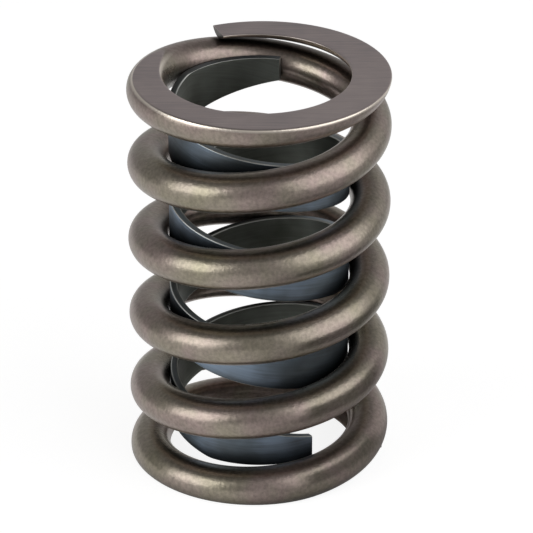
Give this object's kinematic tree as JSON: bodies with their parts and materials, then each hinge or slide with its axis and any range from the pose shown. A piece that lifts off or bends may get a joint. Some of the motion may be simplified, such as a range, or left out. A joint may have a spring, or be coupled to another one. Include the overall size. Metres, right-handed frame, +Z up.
{
  "type": "engine valve spring with flat-wire damper",
  "caption": "Round-wire valve spring with closed, flat-ground ends and a flat-wire damper coiled the other way inside it.",
  "frame": {"origin": "centre of the lower ground end, on the coil axis", "axes": "+Z up along the coil axis, towards the upper ground end"},
  "size_m": [0.0318, 0.0318, 0.0506],
  "materials": {
    "spring_wire": "shot-peened chrome-silicon steel with a bronze-brown heat tint, end faces ground",
    "flat_wire": "rolled flat spring steel, heat-blued dark blue-grey, satin"
  },
  "bodies": {
    "root": {"outer_spring": "spring_wire", "damper": "flat_wire"}
  },
  "joints": []
}
